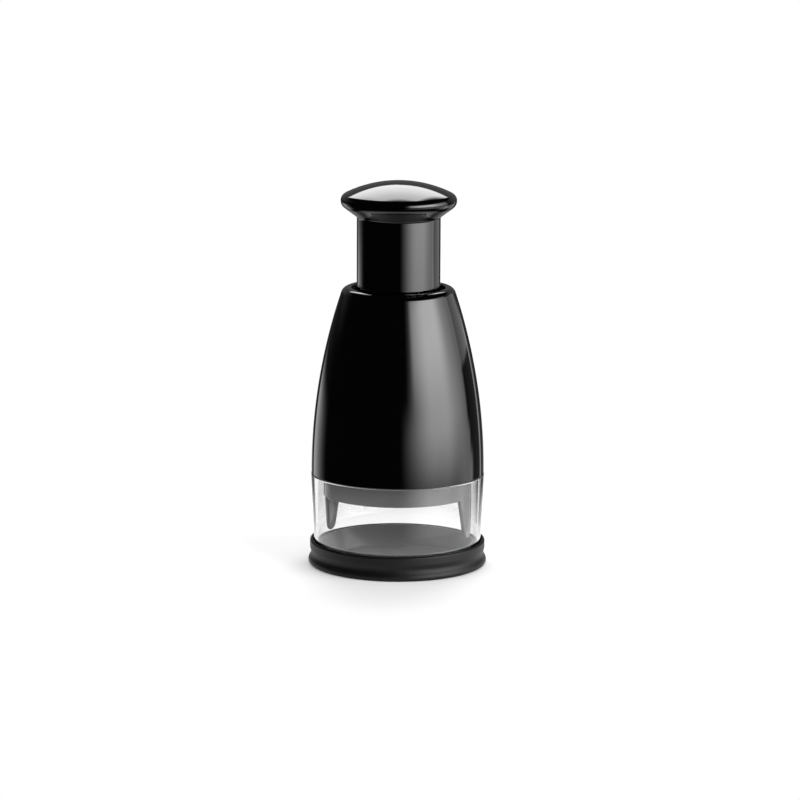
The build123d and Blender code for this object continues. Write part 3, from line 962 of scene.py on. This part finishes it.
@dataclass
class Base:
    """Rubber foot ring and the dished tray in it, in millimetres."""

    foot_radius: float = 47.8
    foot_height: float = 2.4
    foot_round: float = 1.6
    waist_radius: float = 46.4
    waist_height: float = 5.0
    flare_round: float = 3.0
    waist_round: float = 4.0
    bead_radius: float = 46.95
    bead_height: float = 8.4
    bead_slope: float = 1.8
    bead_foot_round: float = 3.0
    bead_round: float = 1.1
    grip_height: float = 13.0
    socket_radius: float = 45.2
    ledge_radius: float = 40.2
    tray_bottom: float = 0.8
    tray_top: float = 2.8
    cup_seat: float = 4.4
    dish_radius: float = 37.0
    rim_height: float = 13.4
    rim_outer: float = 40.9
    rim_inner: float = 39.7
    rim_round: float = 0.4
    floor_radius: float = 34.6
    floor_round: float = 1.0
    press_gap: float = 0.05

    def grip(self) -> Mesh:
        """Models the rubber ring.

        Returns:
            Flared foot, waist and a rounded bead at the top.
        """
        return Outline.ring(
            (self.ledge_radius, 0.0, 0.0),
            (self.foot_radius, 0.0, self.foot_round),
            (self.foot_radius, self.foot_height, self.flare_round),
            (self.waist_radius, self.waist_height, self.waist_round),
            (self.waist_radius, self.bead_height - self.bead_slope, self.bead_foot_round),
            (self.bead_radius, self.bead_height, self.bead_foot_round),
            (self.bead_radius, self.grip_height, self.bead_round),
            (self.socket_radius, self.grip_height, self.bead_round),
            (self.socket_radius, self.tray_top, 0.0),
            (self.ledge_radius, self.tray_top, 0.0),
        ).turned()

    def tray(self) -> Mesh:
        """Models the tray.

        Returns:
            Dished tray with a flange under the cup.
        """
        return Outline(0.0, self.tray_bottom).lines(
            (self.ledge_radius - self.press_gap, self.tray_bottom, 0.0),
            (self.ledge_radius - self.press_gap, self.tray_top, 0.0),
            (self.socket_radius - self.press_gap, self.tray_top, 0.0),
            (self.socket_radius - self.press_gap, self.cup_seat, 0.0),
            (self.dish_radius, self.cup_seat, 0.0),
            (self.rim_outer, self.rim_height, self.rim_round),
            (self.rim_inner, self.rim_height, self.rim_round),
            (self.floor_radius, self.tray_top, self.floor_round),
            (0.0, self.tray_top, 0.0),
        ).turned()

    def build(self, shop: Workshop) -> None:
        """Makes the ring and the tray."""
        shop.piece("grip_ring", self.grip(), BLACK_RUBBER, Body.BASE, "base_grip")
        shop.piece("tray_dish", self.tray(), TRAY_GREY, Body.BASE, "base_tray")


@dataclass
class Spring:
    """Return spring of round wire with closed-up ends, in millimetres."""

    coil_radius: float = 13.4
    wire: float = 1.6
    bottom: float = 71.9
    top: float = 124.3
    end_pitch: float = 2.3
    free_turns: int = 6
    seat: float = 71.0
    solid_share: float = 0.3469
    steps_per_turn: int = 40
    wire_sides: int = 12

    def coil(self) -> Mesh:
        """Models the coil by spinning the wire's section up the axis.

        Returns:
            One capped tube.
        """
        mesh = bmesh.new()
        start = Matrix.Translation(Vector((self.coil_radius, 0.0, self.bottom)) * MM)
        bmesh.ops.create_circle(
            mesh,
            cap_ends=True,
            segments=self.wire_sides,
            radius=self.wire / 2 * MM,
            matrix=start @ Matrix.Rotation(pi / 2, 4, "X"),
        )
        live = mesh.verts[:] + mesh.edges[:] + mesh.faces[:]
        free_pitch = (self.top - self.bottom - 2 * self.end_pitch) / self.free_turns
        end_turn = (1, self.end_pitch)
        for turns, pitch in (end_turn, (self.free_turns, free_pitch), end_turn):
            live = bmesh.ops.spin(
                mesh,
                geom=live,
                cent=(0.0, 0.0, 0.0),
                axis=(0.0, 0.0, 1.0),
                dvec=(0.0, 0.0, pitch * MM / self.steps_per_turn),
                angle=2 * pi * turns,
                steps=turns * self.steps_per_turn,
            )["geom_last"]
        return mesh

    def build(self, shop: Workshop) -> None:
        """Makes the spring on a mesh of its own.

        Args:
            shop: where pieces get their materials.
        """
        coil = shop.piece("spring_coil", self.coil(), SPRING_WIRE, Body.HOUSING, "return_spring")
        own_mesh(coil)


@dataclass
class Mechanism:
    """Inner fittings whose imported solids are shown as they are."""

    finishes: tuple[tuple[Finish, tuple[str, ...]], ...] = (
        (BLACK_ACETAL, ("mechanism_plate", "stem_foot")),
        (WHITE_ACETAL, ("index_nut", "thrust_washer")),
        (SPINDLE_ACETAL, ("blade_spindle",)),
        (BRONZE, ("spindle_bush",)),
        (BUMPER_RUBBER, ("stroke_bumper",)),
        (SMOKE_ABS, ("blade_hub",)),
        (BLADE_STEEL, ("blade_1", "blade_2")),
        (ZINC_STEEL, ("plate_screws", "nut_retainer", "stem_foot_screws")),
        (ZINC_STEEL, ("spindle_washer", "spindle_screw", "hub_screw")),
    )

    def build(self, shop: Workshop) -> None:
        """Gives each solid its material.

        Args:
            shop: where materials are kept.
        """
        for finish, nodes in self.finishes:
            for node in nodes:
                shop.dress(node, finish)


@dataclass(frozen=True)
class SoftPanel:
    """Lit panel of a tent, with the degrees between which each of its soft edges comes or goes.

    The azimuth is taken from the front to the right, and the rise from the tent's middle.
    """

    level: float
    azimuth_in: Point
    azimuth_out: Point
    rise_in: Point
    rise_out: Point
    both_sides: bool = False


@dataclass(frozen=True)
class Tent:
    """Ball of cloth with lit panels that only mirrors show, also those behind the cup; metres."""

    name: str
    radius: float
    height: float
    dark: float
    hides: bool
    panels: tuple[SoftPanel, ...]
    fineness: int = 5

    def glow(self, tree: Tree) -> Socket:
        """Works out how bright the cloth is.

        Args:
            tree: node tree of the cloth.

        Returns:
            The light at each place.
        """
        place = add_node(tree, "ShaderNodeTexCoord").outputs["Object"]
        way = add_node(tree, "ShaderNodeVectorMath", (place,), operation="NORMALIZE")
        parts = add_node(tree, "ShaderNodeSeparateXYZ", (way.outputs["Vector"],))
        right, back, up = (parts.outputs[axis] for axis in "XYZ")
        front = add_node(tree, MATH, (back, -1.0), operation="MULTIPLY")
        angle = add_node(tree, MATH, (right, front.outputs[0]), operation="ARCTAN2")
        azimuth = add_node(tree, MATH, (angle.outputs[0],), operation="DEGREES")
        side = add_node(tree, MATH, (azimuth.outputs[0],), operation="ABSOLUTE")
        lift = add_node(tree, MATH, (up,), operation="ARCSINE")
        rise = add_node(tree, MATH, (lift.outputs[0],), operation="DEGREES").outputs[0]
        total = add_node(tree, MATH, (self.dark, 0.0), operation="ADD").outputs[0]
        for panel in self.panels:
            around = (side if panel.both_sides else azimuth).outputs[0]
            light: float | Socket = panel.level
            for value, edge, ends in (
                (around, panel.azimuth_in, (0.0, 1.0)),
                (around, panel.azimuth_out, (1.0, 0.0)),
                (rise, panel.rise_in, (0.0, 1.0)),
                (rise, panel.rise_out, (1.0, 0.0)),
            ):
                soft = add_node(
                    tree, MAP_RANGE, (value, *edge, *ends), interpolation_type="SMOOTHSTEP"
                ).outputs["Result"]
                light = add_node(tree, MATH, (soft, light), operation="MULTIPLY").outputs[0]
            total = add_node(tree, MATH, (total, light), operation="ADD").outputs[0]
        return total

    def material(self) -> Material:
        """Makes the cloth, which shows after a mirror and is clear before one.

        Returns:
            The tent's material.
        """
        material = bpy.data.materials.new(f"{self.name}_cloth")
        material.use_nodes = True
        material.cycles.emission_sampling = "NONE"
        tree = material.node_tree
        tree.nodes.remove(tree.nodes["Principled BSDF"])
        lit = add_node(tree, "ShaderNodeEmission", {"Strength": self.glow(tree)})
        clear = add_node(tree, "ShaderNodeBsdfTransparent").outputs["BSDF"]
        mirrored = add_node(tree, "ShaderNodeLightPath").outputs["Glossy Depth"]
        surface = add_node(tree, "ShaderNodeMixShader", {0: mirrored, 2: lit.outputs["Emission"]})
        if self.hides:
            tree.links.new(clear, surface.inputs[1])
        else:
            surface = add_node(tree, "ShaderNodeAddShader", (surface.outputs["Shader"], clear))
        output = tree.nodes["Material Output"]
        tree.links.new(surface.outputs["Shader"], output.inputs["Surface"])
        return material

    def build(self) -> None:
        """Hangs the tent."""
        mesh = bmesh.new()
        bmesh.ops.create_icosphere(mesh, subdivisions=self.fineness, radius=self.radius)
        made = shown(self.name, mesh, self.material())
        made.location.z = self.height
        for ray in ("camera", "diffuse", "volume_scatter", "shadow"):
            setattr(made, f"visible_{ray}", False)


@dataclass(frozen=True)
class Lamp:
    """Soft lamp that looks at the object; the tents stand for it in mirrors.

    Azimuth and rise are degrees from the front to the right and above the floor, sizes are metres
    and power is in watts.
    """

    name: str
    azimuth: float
    rise: float
    distance: float
    size: float
    power: float
    aim: float = 0.08

    def build(self) -> None:
        """Hangs the lamp."""
        data = bpy.data.lights.new(self.name, "AREA")
        data.size = self.size
        data.energy = self.power
        made = bpy.data.objects.new(self.name, data)
        turn, lift = radians(self.azimuth), radians(self.rise)
        way = Vector((sin(turn) * cos(lift), -cos(turn) * cos(lift), sin(lift)))
        made.location = Vector((0.0, 0.0, self.aim)) + way * self.distance
        made.rotation_euler = way.to_track_quat("Z", "Y").to_euler()
        made.visible_glossy = False
        made.visible_camera = False
        bpy.context.scene.collection.objects.link(made)


# The studio as the polished black shows it, all round.
FAR_TENT = Tent(
    name="light_tent",
    radius=1.2,
    height=0.0,
    dark=0.008,
    hides=True,
    panels=(
        # Soft box at the right front, low and high, with its bright core.
        SoftPanel(5.9, (2, 52), (66, 112), (-18, 6), (0, 12)),
        SoftPanel(5.9, (10, 50), (66, 112), (0, 12), (28, 40)),
        SoftPanel(2.6, (17, 26), (66, 90), (4, 22), (28, 40)),
        # Its weaker end further round, which reaches further back lower down.
        SoftPanel(1.2, (80, 104), (107, 114), (-30, -20), (28, 40)),
        SoftPanel(1.2, (107, 114), (110, 117), (-30, -20), (-3, 0)),
        SoftPanel(1.2, (110, 117), (115, 122), (-30, -20), (-8, -4)),
        # Thin strip at the right, with a faint glow round it.
        SoftPanel(0.88, (140.5, 143.5), (145.5, 148.5), (-30, -20), (4.5, 8)),
        SoftPanel(0.05, (112, 118), (150, 160), (-30, -20), (28, 40)),
        # Strip at the left, which fades towards the front.
        SoftPanel(1.1, (-152, -149), (-144, -109), (-30, -20), (-3, 3)),
        # Sheet above the back, which the dome shows.
        SoftPanel(4.2, (156, 162), (181, 182), (33, 36), (62, 68)),
        SoftPanel(4.2, (-182, -181), (-154, -148), (32.5, 35.5), (62, 68)),
        SoftPanel(1.1, (156, 162), (181, 182), (34, 52), (62, 68), both_sides=True),
        # Dim back wall.
        SoftPanel(0.12, (100, 150), (181, 182), (8, 14), (33, 36), both_sides=True),
        SoftPanel(0.03, (100, 150), (181, 182), (-40, -20), (33, 36), both_sides=True),
        SoftPanel(0.3, (154, 166), (181, 182), (-40, -30), (-10, -6), both_sides=True),
    ),
)
# A panel close by, which lights the stem and the bell's shoulder and not the bell's lower part.
NEAR_TENT = Tent(
    name="near_gauze",
    radius=0.16,
    height=0.1,
    dark=0.0,
    hides=False,
    panels=(SoftPanel(0.7, (95, 102), (127, 137), (4.2, 6.7), (30, 36)),),
)


@dataclass
class Studio:
    """Floor, tents, lamps, backdrop and camera; metres and degrees."""

    camera_place: Corner = (0.0011, -1.9037, 0.4662)
    camera_pitch: float = 11.2272
    camera_roll: float = 0.27
    focal_mm: float = 163.49
    sensor_mm: float = 36.0
    floor_radius: float = 0.24
    floor_sides: int = 96
    floor_fade: Point = (0.10, 0.22)
    floor_colour: str = "#f4f4f4"
    ambient: float = 0.45
    tents: tuple[Tent, ...] = (FAR_TENT, NEAR_TENT)
    lamps: tuple[Lamp, ...] = (
        Lamp("key_lamp", azimuth=57.0, rise=38.0, distance=1.3, size=0.9, power=10.5),
        Lamp("fill_lamp", azimuth=-60.0, rise=35.0, distance=1.5, size=1.0, power=6.5),
        Lamp("back_lamp", azimuth=176.0, rise=50.0, distance=1.3, size=1.0, power=14.0),
    )

    def floor(self) -> None:
        """Makes a round pale floor that fades into the backdrop."""
        mesh = bmesh.new()
        bmesh.ops.create_circle(
            mesh, cap_ends=True, segments=self.floor_sides, radius=self.floor_radius
        )
        material = bpy.data.materials.new("pale_studio_floor")
        material.use_nodes = True
        tree = material.node_tree
        tree.nodes.remove(tree.nodes["Principled BSDF"])
        place = add_node(tree, "ShaderNodeTexCoord").outputs["Object"]
        reach = add_node(tree, "ShaderNodeVectorMath", (place,), operation="LENGTH")
        fade = add_node(
            tree,
            MAP_RANGE,
            (reach.outputs["Value"], *self.floor_fade),
            interpolation_type="SMOOTHSTEP",
        )
        paint = add_node(tree, "ShaderNodeBsdfDiffuse", {"Color": linear(self.floor_colour)})
        clear = add_node(tree, "ShaderNodeBsdfTransparent")
        surface = add_node(
            tree,
            "ShaderNodeMixShader",
            (fade.outputs["Result"], paint.outputs["BSDF"], clear.outputs["BSDF"]),
        )
        output = tree.nodes["Material Output"]
        tree.links.new(surface.outputs["Shader"], output.inputs["Surface"])
        shown("floor", mesh, material)

    def backdrop(self) -> None:
        """Paints a world that is white to look at, also in mirrors, and dimmer as a light."""
        world = bpy.data.worlds.new("white_backdrop")
        bpy.context.scene.world = world
        world.use_nodes = True
        tree = world.node_tree
        rays = add_node(tree, "ShaderNodeLightPath").outputs
        seen = rays["Is Camera Ray"]
        for ray in (rays["Is Glossy Ray"], rays["Is Transmission Ray"]):
            seen = add_node(tree, MATH, (seen, ray), operation="MAXIMUM").outputs[0]
        strength = add_node(
            tree, MAP_RANGE, {"Value": seen, "To Min": self.ambient, "To Max": 1.0}
        )
        background = tree.nodes["Background"]
        background.inputs["Color"].default_value = (1.0, 1.0, 1.0, 1.0)
        tree.links.new(strength.outputs["Result"], background.inputs["Strength"])

    def camera(self) -> None:
        """Stands the camera where the picture was taken from."""
        data = bpy.data.cameras.new("camera")
        data.sensor_width = self.sensor_mm
        data.lens = self.focal_mm
        made = bpy.data.objects.new("camera", data)
        made.matrix_world = (
            Matrix.Translation(self.camera_place)
            @ Matrix.Rotation(radians(90 - self.camera_pitch), 4, "X")
            @ Matrix.Rotation(radians(self.camera_roll), 4, "Z")
        )
        bpy.context.scene.collection.objects.link(made)
        bpy.context.scene.camera = made

    def build(self) -> None:
        """Sets up the whole studio."""
        self.floor()
        for light in self.tents + self.lamps:
            light.build()
        self.backdrop()
        self.camera()
        bpy.context.scene.view_settings.view_transform = "Standard"


def main() -> None:
    """Builds each sub-assembly and sets up the studio."""
    logging.basicConfig(level=logging.INFO, format="%(name)s: %(message)s")
    shop = Workshop()
    for assembly in (Base(), Cup(), Guard(), BellHousing(), Knob(), Spring(), Mechanism()):
        assembly.build(shop)
    Studio().build()


if __name__ == "__main__":
    main()
